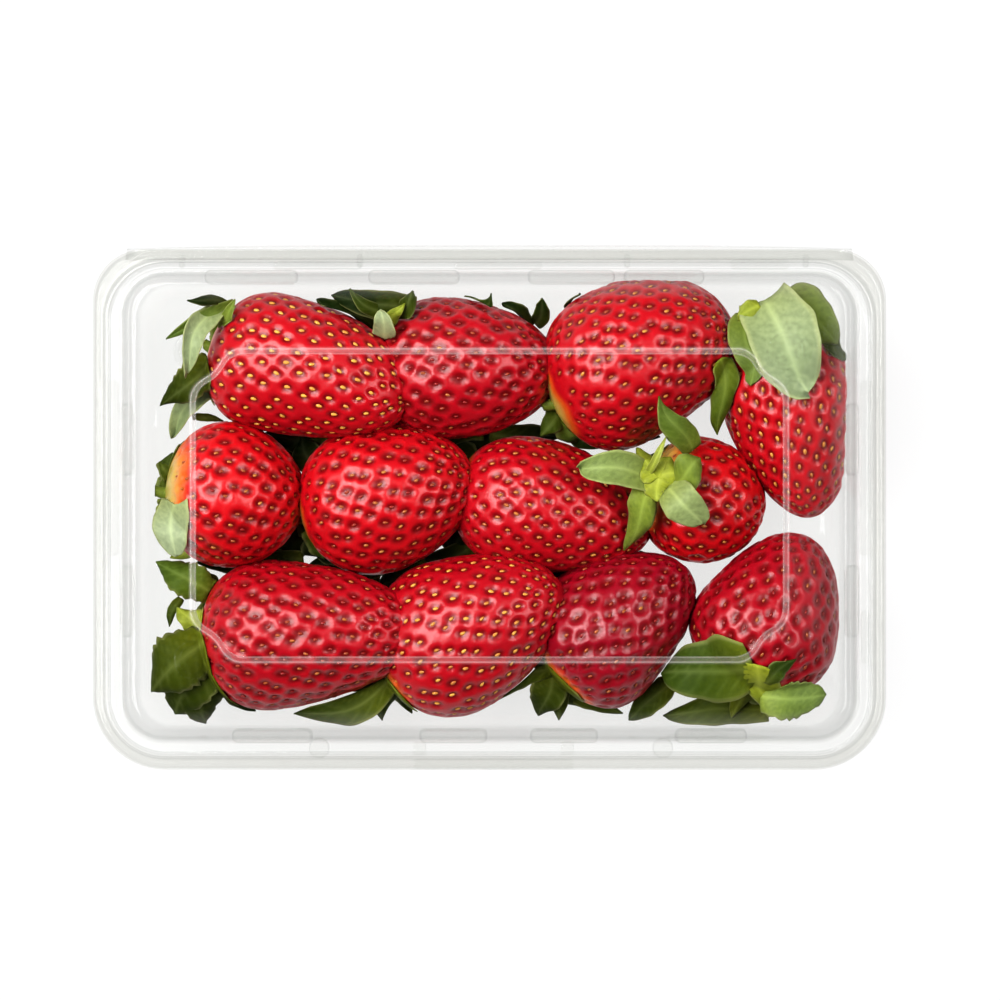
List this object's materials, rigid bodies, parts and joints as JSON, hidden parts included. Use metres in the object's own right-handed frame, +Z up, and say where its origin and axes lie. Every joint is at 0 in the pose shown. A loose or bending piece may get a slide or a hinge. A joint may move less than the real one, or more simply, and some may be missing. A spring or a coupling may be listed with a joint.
{
  "type": "punnet of strawberries",
  "caption": "Clear hinged clamshell punnet holding one layer of whole fresh strawberries with their green caps, lid closed.",
  "frame": {"origin": "on the supporting surface, under the middle of the closed punnet's box", "axes": "+X along the long side, to the right when the front tab faces the viewer; +Y towards the hinge; +Z up"},
  "size_m": [0.186, 0.123, 0.05],
  "materials": {
    "clear_plastic": "clear, thin and glossy formed PET sheet, colourless",
    "strawberry": "bright to deep red moist skin, glossy between dark red pits that hold yellow seeds, paler by the green leaf caps"
  },
  "bodies": {
    "tray": {"tray": "clear_plastic", "strawberries": "strawberry"},
    "lid": {"lid": "clear_plastic"}
  },
  "joints": [
    {"name": "lid_hinge", "type": "hinge", "parent": "tray", "child": "lid", "pos_m": [0, 0.0617, 0.03625], "axis": [-1, 0, 0], "range_deg": [0, 180]}
  ]
}
